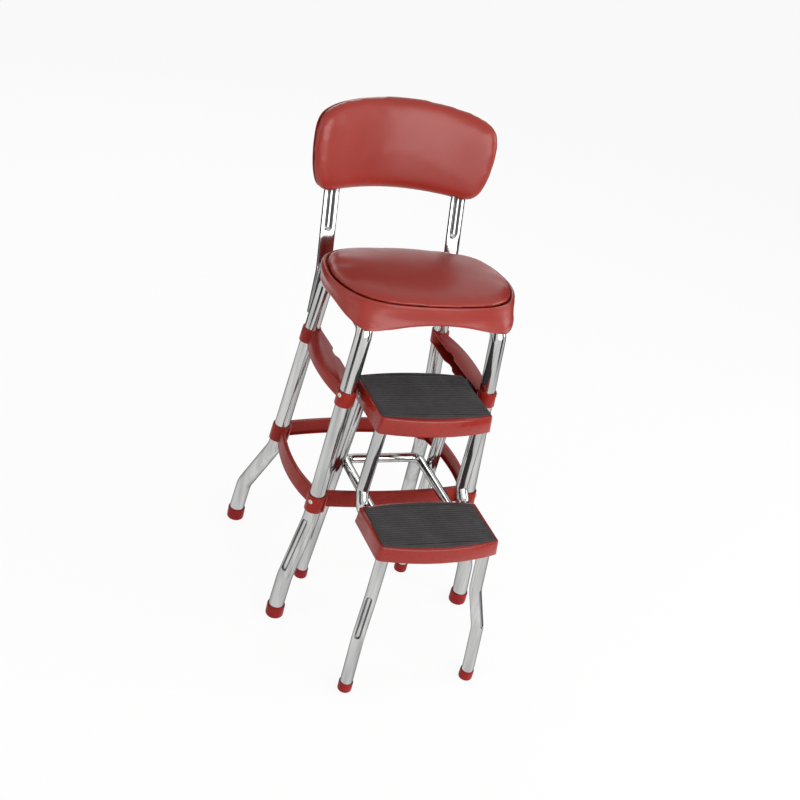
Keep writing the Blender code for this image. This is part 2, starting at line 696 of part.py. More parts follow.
def brace_x(y):
    """Where the right arm of the tube brace lies at a Y: past the rear step leg to the mid tube."""
    return beside_leg + (beside_mid - beside_leg) * (y - leg_at.y) / (brace_end_y - leg_at.y)


def box(name, low, high):
    base = [Vector((low[0], low[1], 0)), Vector((high[0], low[1], 0)),
            Vector((high[0], high[1], 0)), Vector((low[0], high[1], 0))]
    return skin(name, [lift(base, low[2]), lift(base, high[2])])


for word, side in (("left", -1), ("right", 1)):
    # front legs under the lower tray
    top = step_front_leg[0]
    points = [(top[0], top[1], lower_ceiling - gap)] + step_front_leg[1:]
    leg(f"step_leg_front_{word}", points, step_r, step_bend_r, step_dimple, side)
    foot = points[-1]
    cap(f"step_foot_front_{word}", side * foot[0], foot[1], step_r, step_cap_wall, step_cap_h)

    # rear legs under the upper tray
    leg(f"step_leg_rear_{word}", rear_line, step_r, step_bend_r, None, side)
    foot = rear_line[-1]
    cap(f"step_foot_rear_{word}", side * foot[0], foot[1], step_r, step_cap_wall, step_cap_h)

    # mid tubes from the upper tray's front to under the lower tray
    line = rounded(mirror([mid_tube_top + (upper_ceiling - gap,), mid_tube_knee, mid_tube_foot + (run_z,),
                           mid_tube_end + (run_z,)], side), mid_bend_r)
    tube(f"mid_tube_{word}", line, step_r, "chrome", flat_start=True)
    rear_y = lower_tray["rear_y"]
    near, far = sorted((side * (brace_x(rear_y) - brace_r - brace_play),
                        side * (lower_tray["rear_w"] + tray_flare + tray_corner)))
    cut(lower_pan, box(f"lower_tray_notch_{word}_cutter",
                       (near, rear_y - tray_corner, lower_tray_z - 2 * lower_tray_h),
                       (far, rear_y + notch_run, lower_ceiling)))

    # guide roller on the upper tray's side
    stem_drop = upper_tray_z - upper_ring_z + roller_stem_r
    wall_x = apron_x(upper_tray, upper_tray_h, roller_y, stem_drop)[0] + gap
    inner, outer = upper_flange_x - sheet_t, upper_flange_x - sheet_t + roller_w
    steps = [(roller_stem_r, wall_x), (roller_stem_r, inner), (roller_r, inner), (roller_r, outer)]
    ringed = circle(1.0, tube_sides)
    skin(f"guide_roller_{word}",
         [[Vector((side * x, roller_y + a * r, upper_ring_z + b * r)) for a, b in ringed] for r, x in steps],
         "nylon")

    # rivet beside the roller
    rivet_drop = upper_tray_h * rivet_level_share
    x, taper, rise = apron_x(upper_tray, upper_tray_h, rivet_y, rivet_drop)
    out = Vector((side, taper, rise)).normalized()
    disc(f"rivet_{word}", Vector((side * x, rivet_y, upper_tray_z - rivet_drop)) + out * gap, out, rivet_r,
         rivet_h, "zinc")

# tube brace: a U behind the lower tread, its arms along the rear step legs and under the tray
half = [(brace_x(y), y, brace_z) for y in (brace_end_y, brace_back_y)]
tube("step_brace", rounded(mirror(half, -1) + mirror(half[::-1], 1), brace_bend_r), brace_r, "chrome",
     sides=brace_sides)

# centre the object's box on the origin in Y
shown = [o for o in bpy.data.objects if not o.hide_render]
ys = [v.co.y for o in shown for v in o.data.vertices]
shift = -(min(ys) + max(ys)) / 2
for o in bpy.data.objects:
    for v in o.data.vertices:
        v.co.y += shift
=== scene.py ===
import bpy
import bmesh
import math
from mathutils import Matrix, Vector


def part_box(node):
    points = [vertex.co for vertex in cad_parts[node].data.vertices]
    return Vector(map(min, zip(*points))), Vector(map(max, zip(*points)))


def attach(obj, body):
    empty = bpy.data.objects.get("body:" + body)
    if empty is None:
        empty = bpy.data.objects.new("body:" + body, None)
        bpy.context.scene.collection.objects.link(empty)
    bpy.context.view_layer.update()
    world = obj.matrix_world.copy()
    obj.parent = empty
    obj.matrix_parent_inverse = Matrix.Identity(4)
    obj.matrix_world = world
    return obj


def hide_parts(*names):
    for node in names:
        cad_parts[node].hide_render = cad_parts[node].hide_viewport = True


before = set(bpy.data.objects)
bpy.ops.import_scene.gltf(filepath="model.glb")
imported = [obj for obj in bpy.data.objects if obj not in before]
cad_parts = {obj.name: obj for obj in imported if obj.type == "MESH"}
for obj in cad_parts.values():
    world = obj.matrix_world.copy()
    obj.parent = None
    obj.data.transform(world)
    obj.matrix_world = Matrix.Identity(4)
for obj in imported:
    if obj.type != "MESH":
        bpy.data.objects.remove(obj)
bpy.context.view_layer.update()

# -----------------------------------------------------------------------------
# Camera. The photograph looks down on the stool from its front left, and the picture is turned
# a little clockwise. Places are worked out for a square picture.
rear_foot_y = 0.0950
foot_low, foot_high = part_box("chair_foot_rear_left")
datum_y = (foot_low[1] + foot_high[1]) / 2 - rear_foot_y      # the sizes below count Y from here
view_turn, view_drop, view_roll = math.radians(-28.227), math.radians(29.411), math.radians(14.700)
view_reach = 2.4723
view_aim = Vector((0.0611, datum_y, 0.3389))
camera_data = bpy.data.cameras.new("camera")
camera_data.sensor_width = 36.0
camera_data.lens = 58.219
camera_data.clip_end = 50.0
camera = bpy.data.objects.new("camera", camera_data)
bpy.context.scene.collection.objects.link(camera)
back_way = Vector((math.sin(view_turn) * math.cos(view_drop), -math.cos(view_turn) * math.cos(view_drop),
                   math.sin(view_drop)))
right_way = Vector((math.cos(view_turn), math.sin(view_turn), 0))
up_way = back_way.cross(right_way)
rolled_right = right_way * math.cos(view_roll) + up_way * math.sin(view_roll)
rolled_up = up_way * math.cos(view_roll) - right_way * math.sin(view_roll)
turned = Matrix((rolled_right, rolled_up, back_way)).transposed().to_4x4()
camera.matrix_world = Matrix.Translation(view_aim + back_way * view_reach) @ turned
bpy.context.scene.camera = camera
bpy.context.scene.view_settings.view_transform = 'Standard'


# -----------------------------------------------------------------------------
# Studio. A pale paper floor under a wide soft lamp in front and a weaker one on each side and
# behind. The floor and the room read as white to the camera and in the chrome.
def node_of(tree, kind, **settings):
    made = tree.nodes.new(kind)
    for key, value in settings.items():
        setattr(made, key, value)
    return made


def seen_rays(tree):
    """1 for the rays that show the background: the camera's, the mirror ones and those through glass."""
    path = node_of(tree, "ShaderNodeLightPath")
    either = node_of(tree, "ShaderNodeMath", operation='MAXIMUM')
    tree.links.new(path.outputs["Is Camera Ray"], either.inputs[0])
    tree.links.new(path.outputs["Is Glossy Ray"], either.inputs[1])
    any_of = node_of(tree, "ShaderNodeMath", operation='MAXIMUM')
    tree.links.new(either.outputs[0], any_of.inputs[0])
    tree.links.new(path.outputs["Is Transmission Ray"], any_of.inputs[1])
    return any_of.outputs[0]


def by_ray(tree, lit, shown):
    """The first shader lights the stool, and the second is what the seen rays get."""
    choice = node_of(tree, "ShaderNodeMixShader")
    tree.links.new(seen_rays(tree), choice.inputs["Fac"])
    tree.links.new(lit.outputs[0], choice.inputs[1])
    tree.links.new(shown.outputs[0], choice.inputs[2])
    return choice


def stage_piece(name, bm, finish_name):
    """A piece of the studio, the empty tree of its finish and the socket that its shader goes to."""
    mesh = bpy.data.meshes.new(name)
    bm.to_mesh(mesh)
    bm.free()
    piece = bpy.data.objects.new(name, mesh)
    bpy.context.scene.collection.objects.link(piece)
    finish = bpy.data.materials.new(finish_name)
    finish.use_nodes = True
    finish.node_tree.nodes.clear()
    mesh.materials.append(finish)
    end = node_of(finish.node_tree, "ShaderNodeOutputMaterial")
    return piece, finish.node_tree, end.inputs["Surface"]


floor_half = 9.0
paper_white = (0.86, 0.86, 0.86, 1)
paper_lift = 0.90             # share of the floor's white that no shadow dims
room_level = 0.50
bm = bmesh.new()
bmesh.ops.create_grid(bm, x_segments=2, y_segments=2, size=floor_half)
tree, finish_end = stage_piece("paper_floor", bm, "floor_paper")[1:]
matte = node_of(tree, "ShaderNodeBsdfDiffuse")
matte.inputs["Color"].default_value = paper_white
glow = node_of(tree, "ShaderNodeEmission")
lifted = node_of(tree, "ShaderNodeMixShader")
lifted.inputs["Fac"].default_value = paper_lift
tree.links.new(matte.outputs[0], lifted.inputs[1])
tree.links.new(glow.outputs[0], lifted.inputs[2])
choice = by_ray(tree, matte, lifted)
tree.links.new(choice.outputs[0], finish_end)

world = bpy.data.worlds.new("studio_room")
bpy.context.scene.world = world
world.use_nodes = True
tree = world.node_tree
tree.nodes.clear()
room = node_of(tree, "ShaderNodeBackground")
room.inputs["Color"].default_value = (1.0, 0.99, 0.98, 1)
room.inputs["Strength"].default_value = room_level
bright = node_of(tree, "ShaderNodeBackground")
bright.inputs["Color"].default_value = (1, 1, 1, 1)
choice = by_ray(tree, room, bright)
world_out = node_of(tree, "ShaderNodeOutputWorld")
tree.links.new(choice.outputs[0], world_out.inputs["Surface"])
lamp_aim = Vector((0, 0, 0.42))


def lamp(name, place, size, power):
    data = bpy.data.lights.new(name, 'AREA')
    data.shape = 'RECTANGLE'
    data.size, data.size_y = size
    data.energy = power
    light = bpy.data.objects.new(name, data)
    bpy.context.scene.collection.objects.link(light)
    towards = lamp_aim - Vector(place)
    light.matrix_world = Matrix.Translation(place) @ towards.to_track_quat('-Z', 'Y').to_matrix().to_4x4()


lamp("front_lamp", (0.90, -2.30, 1.25), (3.4, 1.5), 64.0)
lamp("left_lamp", (-2.20, -0.80, 1.30), (1.0, 1.4), 12.0)
lamp("right_lamp", (2.20, -0.40, 1.30), (1.0, 1.4), 12.0)
lamp("back_lamp", (0.0, 2.00, 1.80), (1.6, 1.0), 12.0)

# black studio cards round the stool, which only mirror rays see
card_tone = 0.035
card_half_high, card_mid_z = 0.75, 0.76
card_places = ((-1.15, -0.55, 0.34), (1.05, -0.90, 0.30), (1.15, 0.55, 0.42), (-0.60, 1.10, 0.36))
bm = bmesh.new()
for x, y, half in card_places:
    made = bmesh.ops.create_grid(bm, x_segments=1, y_segments=1, size=1.0)["verts"]
    facing = Vector((-x, -y, 0)).to_track_quat('Z', 'Y').to_matrix().to_4x4()
    bmesh.ops.scale(bm, vec=(half, card_half_high, 1), verts=made)
    bmesh.ops.transform(bm, matrix=Matrix.Translation((x, y, card_mid_z)) @ facing, verts=made)
cards, tree, finish_end = stage_piece("studio_cards", bm, "card_black")
cards.visible_camera = cards.visible_diffuse = cards.visible_shadow = cards.visible_transmission = False
dark = node_of(tree, "ShaderNodeEmission")
dark.inputs["Color"].default_value = (card_tone, card_tone, card_tone, 1)
tree.links.new(dark.outputs[0], finish_end)


# -----------------------------------------------------------------------------
# Chair legs. Chromed steel tube, bent outwards at the knee and turned level under the seat, where
# the two legs of a side meet. A trough is pressed into the outer side of each front leg, and a
# painted dark reflection darkens the colour of its rim, in place of the dark round it that the rim
# would mirror.
leg_r = 0.0143
leg_bend_r, arch_bend_r = 0.055, 0.021
leg_sides = 96
knee_z = 0.2100
collar_z = 0.2440             # height at which the legs' places are measured
front_leg_at, front_lean = (0.1500, -0.1830), (-0.0700, 0.0430)
rear_leg_at, rear_lean = (0.1510, 0.0410), (-0.0900, 0.0040)
tube_low_z = 0.0033
chair_trough = (0.2000, 0.1080)
trough_half_w = 0.0074
trough_depth = 0.0036
trough_wall = 0.0030          # how wide the slope of its rim is
trough_turn = 2.0             # how much further sideways than forwards it faces
fine_step = 0.0010            # spacing of the rings where a trough is pressed
plain_step = 0.0080
bend_steps = 14
both_sides = (("left", -1), ("right", 1))


def grow(bm, ring, places):
    """Extrude a ring of corners, in order, and lay the new ring at its places."""
    edges = [bm.edges.get((a, b)) for a, b in zip(ring, ring[1:] + ring[:1])]
    made = set(bmesh.ops.extrude_edge_only(bm, edges=edges)["geom"])
    fresh = [next(e.other_vert(v) for e in v.link_edges if e.other_vert(v) in made) for v in ring]
    for corner, place in zip(fresh, places):
        corner.co = place
    return fresh


def first_ring(bm, places):
    ring = bmesh.ops.create_circle(bm, cap_ends=False, radius=1.0, segments=len(places))["verts"]
    for corner, place in zip(ring, places):
        corner.co = place
    return ring


def close_ring(bm, ring, pole=None):
    """Close a ring with a flat face, or draw it together in a pole."""
    if pole is None:
        bmesh.ops.contextual_create(bm, geom=ring)
    else:
        tip = grow(bm, ring, [pole] * len(ring))
        bmesh.ops.pointmerge(bm, verts=tip, merge_co=pole)


def round_corner(a, b, c, steps):
    """Places on a curve from a to c that bends towards b."""
    return [a * (1 - t) ** 2 + b * (2 * t * (1 - t)) + c * t ** 2 for t in
            (k / steps for k in range(steps + 1))]


def rounded_line(points, radius, first_radius=None):
    """A line with its inner corners rounded."""
    pts = [Vector(p) for p in points]
    line = [pts[0]]
    for a, b, c in zip(pts, pts[1:], pts[2:]):
        into, away = a - b, c - b
        bend = first_radius if first_radius and b is pts[1] else radius
        reach = min(bend / math.tan(into.angle(away) / 2), into.length * 0.48, away.length * 0.48)
        line += round_corner(b + into.normalized() * reach, b, b + away.normalized() * reach, bend_steps)
    line.append(pts[-1])
    return line


def spaced(line, fine=None, step=plain_step):
    """The same line with stations close together, and closer still between two heights."""
    out = [line[0]]
    for a, b in zip(line, line[1:]):
        run = (b - a).length
        if run < 1e-6:
            continue
        pressed = (fine and min(a.z, b.z) < max(fine) + trough_half_w * 2
                   and max(a.z, b.z) > min(fine) - trough_half_w * 2)
        cuts = max(1, math.ceil(run / (fine_step if pressed else step)))
        out += [a.lerp(b, k / cuts) for k in range(1, cuts + 1)]
    return out


def skin(bm, rows, first_pole=None, last_pole=None):
    """Draw a skin over rings of places, close both ends and give back the rings."""
    rings = [first_ring(bm, rows[0])]
    close_ring(bm, rings[0], first_pole)
    for places in rows[1:]:
        rings.append(grow(bm, rings[-1], places))
    close_ring(bm, rings[-1], last_pole)
    return rings


def heading(line, i):
    return (line[min(i + 1, len(line) - 1)] - line[max(i - 1, 0)]).normalized()


def tube_shape(bm, line, radius, sides, level_start=False, level_end=False):
    """Draw a round tube down a line, both ends closed."""
    rows = []
    for i, p in enumerate(line):
        run = heading(line, i)
        if (i == 0 and level_start) or (i == len(line) - 1 and level_end):
            run = Vector((0, 0, 1 if run.z > 0 else -1))
        across = Vector((0, 0, 1)) if abs(run.x) > 0.8 else Vector((1, 0, 0))
        across = (across - run * across.dot(run)).normalized()
        other = run.cross(across)
        rows.append([p + across * (radius * math.cos(2 * math.pi * k / sides))
                     + other * (radius * math.sin(2 * math.pi * k / sides)) for k in range(sides)])
    skin(bm, rows)


def leg_place(points, z):
    """The point of a leg's line at a height."""
    for a, b in zip(points, points[1:]):
        if min(a[2], b[2]) <= z <= max(a[2], b[2]):
            return Vector(a).lerp(Vector(b), (z - a[2]) / (b[2] - a[2]))
    return Vector(points[0])


def mirrored(points, side):
    return [(side * p[0],) + tuple(p[1:]) for p in points]


def painted_dark_reflection(bm):
    """The layer of point values for the painted dark reflection: how far the chrome's colour is darkened
    where a pressed wall would mirror the dark round it.
    """
    return bm.verts.layers.float.get("painted_dark_reflection") or bm.verts.layers.float.new("painted_dark_reflection")


def soft_step(t):
    """From 0 to 1 with a soft start and end."""
    t = max(0.0, min(1.0, t))
    return t * t * (3 - 2 * t)


def press_trough(bm, points, side, heights, turn, half_w, depth, wall):
    """Press a long round-ended trough between two heights, facing forwards and outwards, and paint a dark
    reflection into the colour of its rim.
    """
    top, low = (leg_place(mirrored(points, side), z) for z in heights)
    facing = Vector((side * turn, -1, 0)).normalized()
    run = low - top
    painted_dark_reflection(bm)
    for v in bm.verts:
        share = max(0.0, min(1.0, (v.co - top).dot(run) / run.length_squared))
        off = v.co - (top + run * share)
        beyond = abs((v.co - top).dot(run) / run.length - share * run.length)
        out = off - run * (off.dot(run) / run.length_squared)
        if out.dot(facing) <= 0:
            continue
        sideways = out - facing * out.dot(facing)
        away = math.hypot(sideways.length, beyond)
        t = max(0.0, min(1.0, (half_w - away) / wall))
        # painted dark reflection, strongest halfway down the trough's rim
        v[painted_dark_reflection(bm)] = 4 * t * (1 - t)
        v.co -= facing * (depth * soft_step(t))


def settle(name, bm, finish, body, node, edge_angle=None):
    """Turn a worked shape into a piece at its place in the stool, standing for a solid."""
    bmesh.ops.remove_doubles(bm, verts=bm.verts[:], dist=1e-6)
    bmesh.ops.recalc_face_normals(bm, faces=bm.faces[:])
    bmesh.ops.translate(bm, vec=(0, datum_y, 0), verts=bm.verts[:])
    mesh = bpy.data.meshes.new(name)
    for f in bm.faces:
        f.smooth = True
    if edge_angle is not None:
        for e in bm.edges:
            if len(e.link_faces) == 2 and e.calc_face_angle(0) > math.radians(edge_angle):
                e.smooth = False
    bm.to_mesh(mesh)
    bm.free()
    mesh.materials.append(finish)
    piece = bpy.data.objects.new(name, mesh)
    bpy.context.scene.collection.objects.link(piece)
    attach(piece, body)
    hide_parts(node)
    return piece


def noise(tree, coords, scale, detail, stretch):
    """Noise in the piece's own coordinates, drawn out along them where it is stretched."""
    turn = node_of(tree, "ShaderNodeMapping")
    turn.inputs["Scale"].default_value = stretch
    tree.links.new(coords, turn.inputs["Vector"])
    grain = node_of(tree, "ShaderNodeTexNoise")
    grain.inputs["Scale"].default_value = scale
    grain.inputs["Detail"].default_value = detail
    tree.links.new(turn.outputs[0], grain.inputs["Vector"])
    return grain.outputs["Fac"]


def noise_bump(tree, shader, coords, scale, stretch, strength, distance, detail=2.0, below=None):
    """An uneven surface. A second one is laid over the one below."""
    bump = node_of(tree, "ShaderNodeBump")
    bump.inputs["Strength"].default_value = strength
    bump.inputs["Distance"].default_value = distance
    tree.links.new(noise(tree, coords, scale, detail, stretch), bump.inputs["Height"])
    if below is not None:
        tree.links.new(below, bump.inputs["Normal"])
    tree.links.new(bump.outputs[0], shader.inputs["Normal"])
    return bump.outputs[0]


def shaded(tree, shader, coords, scale, dark, light, stretch=(1, 1, 1)):
    """Colour that drifts between two close tones."""
    ramp = node_of(tree, "ShaderNodeValToRGB")
    ramp.color_ramp.elements[0].position, ramp.color_ramp.elements[1].position = 0.35, 0.65
    ramp.color_ramp.elements[0].color = (*dark, 1)
    ramp.color_ramp.elements[1].color = (*light, 1)
    tree.links.new(noise(tree, coords, scale, 3.0, stretch), ramp.inputs["Fac"])
    tree.links.new(ramp.outputs["Color"], shader.inputs["Base Color"])


def gloss_drift(tree, shader, coords, scale, low, high, stretch=(1, 1, 1)):
    """Roughness that drifts between two values."""
    spread = node_of(tree, "ShaderNodeMapRange")
    spread.inputs["From Min"].default_value, spread.inputs["From Max"].default_value = 0.3, 0.7
    spread.inputs["To Min"].default_value, spread.inputs["To Max"].default_value = low, high
    tree.links.new(noise(tree, coords, scale, 4.0, stretch), spread.inputs["Value"])
    tree.links.new(spread.outputs["Result"], shader.inputs["Roughness"])


def new_finish(name):
    finish = bpy.data.materials.new(name)
    finish.use_nodes = True
    tree = finish.node_tree
    shader = tree.nodes["Principled BSDF"]
    coords = node_of(tree, "ShaderNodeTexCoord").outputs["Object"]
    return finish, tree, shader, coords


def worked_finish(name, tone, gloss, bump, **settings):
    """A finish whose colour and gloss drift and whose surface is slightly uneven."""
    finish, tree, shader, coords = new_finish(name)
    for socket, value in settings.items():
        shader.inputs[socket.replace("_", " ")].default_value = value
    shaded(tree, shader, coords, *tone)
    gloss_drift(tree, shader, coords, *gloss)
    noise_bump(tree, shader, coords, bump[0], (1, 1, 1), *bump[1:])
    return finish


chrome, tree, shader, coords = new_finish("polished_chrome")
shader.inputs["Metallic"].default_value = 1.0
shader.inputs["Specular Tint"].default_value = (0.22, 0.22, 0.23, 1)
# The colour is the metal's grey, with light and dark streaks drawn along the tubes that are painted
# reflections of the studio round them.
shaded(tree, shader, coords, 90.0, (0.43, 0.43, 0.43), (0.62, 0.62, 0.61), stretch=(1, 1, 0.05))
# Painted dark reflection: where a point carries it, the colour is drawn towards near black, for walls that
# would mirror the dark round them.
painted_reflection_mix = node_of(tree, "ShaderNodeMix", data_type='RGBA')
painted_reflection_mix.inputs["B"].default_value = (0.045, 0.047, 0.050, 1)
painted_reflection_value = node_of(tree, "ShaderNodeAttribute", attribute_name="painted_dark_reflection")
tree.links.new(painted_reflection_value.outputs["Fac"], painted_reflection_mix.inputs["Factor"])
tree.links.new(shader.inputs["Base Color"].links[0].from_socket, painted_reflection_mix.inputs["A"])
tree.links.new(painted_reflection_mix.outputs["Result"], shader.inputs["Base Color"])
gloss_drift(tree, shader, coords, 30.0, 0.07, 0.16, (1, 1, 0.15))
noise_bump(tree, shader, coords, 24.0, (1, 1, 0.12), 0.25, 0.0006)


def on_line(at, lean, z):
    return (at[0] + lean[0] * (z - collar_z), at[1] + lean[1] * (z - collar_z), z)


arch_z, arch_meet_y, arch_play = 0.5890, -0.0700, 0.00015
front_corner = Vector(on_line(front_leg_at, front_lean, arch_z))
rear_corner = Vector(on_line(rear_leg_at, rear_lean, arch_z))


def leg_points(at, lean, bend_z, level_y, meet_y, shin, foot):
    """The leg's line from where it meets its neighbour under the seat down to the floor."""
    level = [tuple(front_corner.lerp(rear_corner, (y - front_corner.y) / (rear_corner.y - front_corner.y)))
             for y in (meet_y, level_y)]
    return level + [on_line(at, lean, bend_z), on_line(at, lean, knee_z), shin, foot,
                    (foot[0], foot[1], tube_low_z)]


front_leg = leg_points(front_leg_at, front_lean, bend_z=0.5740, level_y=-0.1530,
                       meet_y=arch_meet_y - arch_play, shin=(0.1835, -0.1990, 0.0880),
                       foot=(0.1880, -0.2000, 0.0300))
rear_leg = leg_points(rear_leg_at, rear_lean, bend_z=0.5700, level_y=0.0224,
                      meet_y=arch_meet_y + arch_play, shin=(0.1825, 0.0900, 0.0880),
                      foot=(0.1860, rear_foot_y, 0.0300))
chair_rows = (("front", front_leg), ("rear", rear_leg))
for word, side in both_sides:
    for row, points in chair_rows:
        bm = bmesh.new()
        drawn = [points[0], tuple(front_corner)] + points[3:] if row == "front" else points
        line = rounded_line(mirrored(drawn[:-1], side), leg_bend_r, arch_bend_r if row == "front" else None)
        line.append(Vector(mirrored(points[-1:], side)[0]))
        trough = chair_trough if row == "front" else None
        tube_shape(bm, spaced(line, trough), leg_r, leg_sides, level_end=True)
        if trough:
            press_trough(bm, points, side, trough, trough_turn, trough_half_w, trough_depth, trough_wall)
        settle(f"chair_leg_{row}_{word}_tube", bm, chrome, "chair_frame",
               f"chair_leg_{row}_{word}", edge_angle=50)


# -----------------------------------------------------------------------------
# Foot caps. Tips moulded in soft red plastic, with rounded bottoms. They are pushed over the
# ends of all eight legs and keep the tube off the floor.
cap_sides = 56
cap_play = 0.0003
cap_floor = 0.0030            # thickness of the plastic under the tube
tip_r, tip_high = 0.0166, 0.0260
red_tip = worked_finish("red_tip_plastic", (60.0, (0.21, 0.009, 0.010), (0.27, 0.014, 0.014)),
                        (120.0, 0.34, 0.50), (900.0, 0.10, 0.0002), Specular_IOR_Level=0.15)


def turned_shape(bm, profile, centre, axis=(0, 0, 1), steps=cap_sides):
    """Spin a closed outline of (radius, height) about an axis. It runs from pole to pole or round."""
    run = Vector(axis).normalized()
    ref = Vector((1, 0, 0)) if abs(run.x) < 0.8 else Vector((0, 1, 0))
    out = (ref - run * ref.dot(run)).normalized()
    corners = [bm.verts.new(Vector(centre) + out * r + run * h) for r, h in profile]
    edges = [bm.edges.new(pair) for pair in zip(corners, corners[1:])]
    if profile[0][0] > 0:
        edges.append(bm.edges.new((corners[-1], corners[0])))
    bmesh.ops.spin(bm, geom=corners + edges, cent=centre, axis=run, dvec=(0, 0, 0), angle=2 * math.pi,
                   steps=steps, use_merge=True)
    bmesh.ops.remove_doubles(bm, verts=bm.verts[:], dist=1e-6)


def tip_outline(tube_radius, outer, height):
    round_r = outer * 0.32
    bottom = [(outer - round_r + round_r * math.sin(a), round_r - round_r * math.cos(a))
              for a in (math.radians(15 * k) for k in range(7))]
    return ([(0, 0)] + bottom + [(outer, height * 0.55), (outer - 0.0001, height - 0.0012),
            (outer - 0.0004, height - 0.0004), (outer - 0.0011, height), (tube_radius + cap_play, height),
            (tube_radius + cap_play, cap_floor), (0, cap_floor)])


def foot_cap(name, node, place, tube_radius, outer, height, body):
    bm = bmesh.new()
    turned_shape(bm, tip_outline(tube_radius, outer, height), (place[0], place[1], 0))
    settle(name, bm, red_tip, body, node, edge_angle=60)


for word, side in both_sides:
    for row, points in chair_rows:
        foot_cap(f"chair_tip_{row}_{word}", f"chair_foot_{row}_{word}",
                 (side * points[-1][0], points[-1][1]), leg_r, tip_r, tip_high, "chair_frame")


# -----------------------------------------------------------------------------
# Side, front and rear rails. Folded sheet steel in red enamel, with collars rolled round the
# legs. The folded edges are slightly soft where the sheet bends and where the enamel gathers.
fold_soft = 0.0006
enamel_tone, enamel_grain = (9.0, (0.232, 0.013, 0.008), (0.268, 0.018, 0.011)), (260.0, 0.10, 0.0003)
red_enamel = worked_finish("red_enamel", enamel_tone, (40.0, 0.26, 0.36), enamel_grain,
                           Specular_IOR_Level=0.16)


def softened(name, node, finish, body, soft=fold_soft):
    """A copy of a solid whose shape is right, with its corners merged and its edges softened."""
    bm = bmesh.new()
    bm.from_mesh(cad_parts[node].data)
    bmesh.ops.remove_doubles(bm, verts=bm.verts[:], dist=2e-6)
    bmesh.ops.dissolve_limit(bm, angle_limit=math.radians(0.6), verts=bm.verts[:], edges=bm.edges[:])
    bmesh.ops.translate(bm, vec=(0, -datum_y, 0), verts=bm.verts[:])
    piece = settle(name, bm, finish, body, node)
    edge = piece.modifiers.new("soft_edges", 'BEVEL')
    edge.width = soft
    edge.segments = 2
    edge.limit_method = 'ANGLE'
    edge.angle_limit = math.radians(35)
    edge.harden_normals = True
    return piece


for node in ("lower_rail_left", "lower_rail_right", "upper_rail_left", "upper_rail_right",
             "lower_rail_front", "lower_rail_rear"):
    softened(node + "_steel", node, red_enamel, "chair_frame")


# -----------------------------------------------------------------------------
# Clamp screws. Zinc-plated steel with domed heads and a pressed cross. One goes through each
# collar and draws it tight round its leg.
pale_zinc = worked_finish("pale_zinc", (300.0, (0.62, 0.58, 0.46), (0.78, 0.74, 0.62)),
                          (500.0, 0.22, 0.40), (900.0, 0.15, 0.0002), Metallic=1.0)
cross_w, cross_reach, cross_depth = 0.0009, 0.0024, 0.0009
screw_r, screw_high = 0.0042, 0.0022
screw_faces = {("lower", "front"): ((0.810, -0.585, 0), 0.0060),
               ("upper", "front"): ((0.910, -0.410, 0), 0.0075),
               ("lower", "rear"): ((0.450, 0.890, 0), 0.0), ("upper", "rear"): ((0.450, 0.890, 0), 0.0)}
upper_rail_z = 0.4570
rail_levels = (("lower", collar_z), ("upper", upper_rail_z))
collar_play, collar_wall = 0.0003, 0.0026
collar_r = leg_r + collar_play + collar_wall


def screw_head(name, node, spot, out, radius, height, body, cross=True):
    """A domed head on a thin flange, its seat at spot."""
    bm = bmesh.new()
    dome = [(radius * math.cos(a) * 0.86, height * (0.30 + 0.70 * math.sin(a)))
            for a in (math.radians(15 * k) for k in range(6))]
    turned_shape(bm, [(0, 0), (radius, 0), (radius, height * 0.22), (radius * 0.93, height * 0.30)] + dome
                 + [(0, height)], (0, 0, 0), steps=32)
    if cross:
        for normal in ((1, 0, 0), (0, 1, 0)):
            for edge in (-cross_w / 2, cross_w / 2):
                bmesh.ops.bisect_plane(bm, geom=bm.verts[:] + bm.edges[:] + bm.faces[:], dist=1e-7,
                                       plane_co=Vector(normal) * edge, plane_no=normal)
        for v in bm.verts:
            if v.co.z > height * 0.4:
                near, far = sorted((abs(v.co.x), abs(v.co.y)))
                if near < cross_w / 2 + 1e-6 and far < cross_reach:
                    v.co.z -= cross_depth * (0.4 if near > cross_w / 2 - 1e-6 and far > cross_w else 1.0)
    turn = Vector(out).to_track_quat('Z', 'Y').to_matrix().to_4x4()
    bmesh.ops.transform(bm, matrix=Matrix.Translation(spot) @ turn, verts=bm.verts[:])
    settle(name, bm, pale_zinc, body, node, edge_angle=40)


for word, side in both_sides:
    for row, points in chair_rows:
        for level, z in rail_levels:
            turn, above = screw_faces[level, row]
            out = Vector(mirrored([turn], side)[0]).normalized()
            spot = leg_place(mirrored(points, side), z + above) + out * collar_r
            screw_head(f"clamp_screw_head_{level}_{row}_{word}", f"clamp_screw_{level}_{row}_{word}", spot,
                       out, screw_r, screw_high, "chair_frame")


# -----------------------------------------------------------------------------
# Seat bearers. Two zinc-plated steel strips that lie on the level stretches of the legs and
# carry the seat pan. The photograph doesn't show them.
for word in ("left", "right"):
    softened(f"seat_strip_{word}", f"seat_bearer_{word}", pale_zinc, "chair_frame", 0.0010)


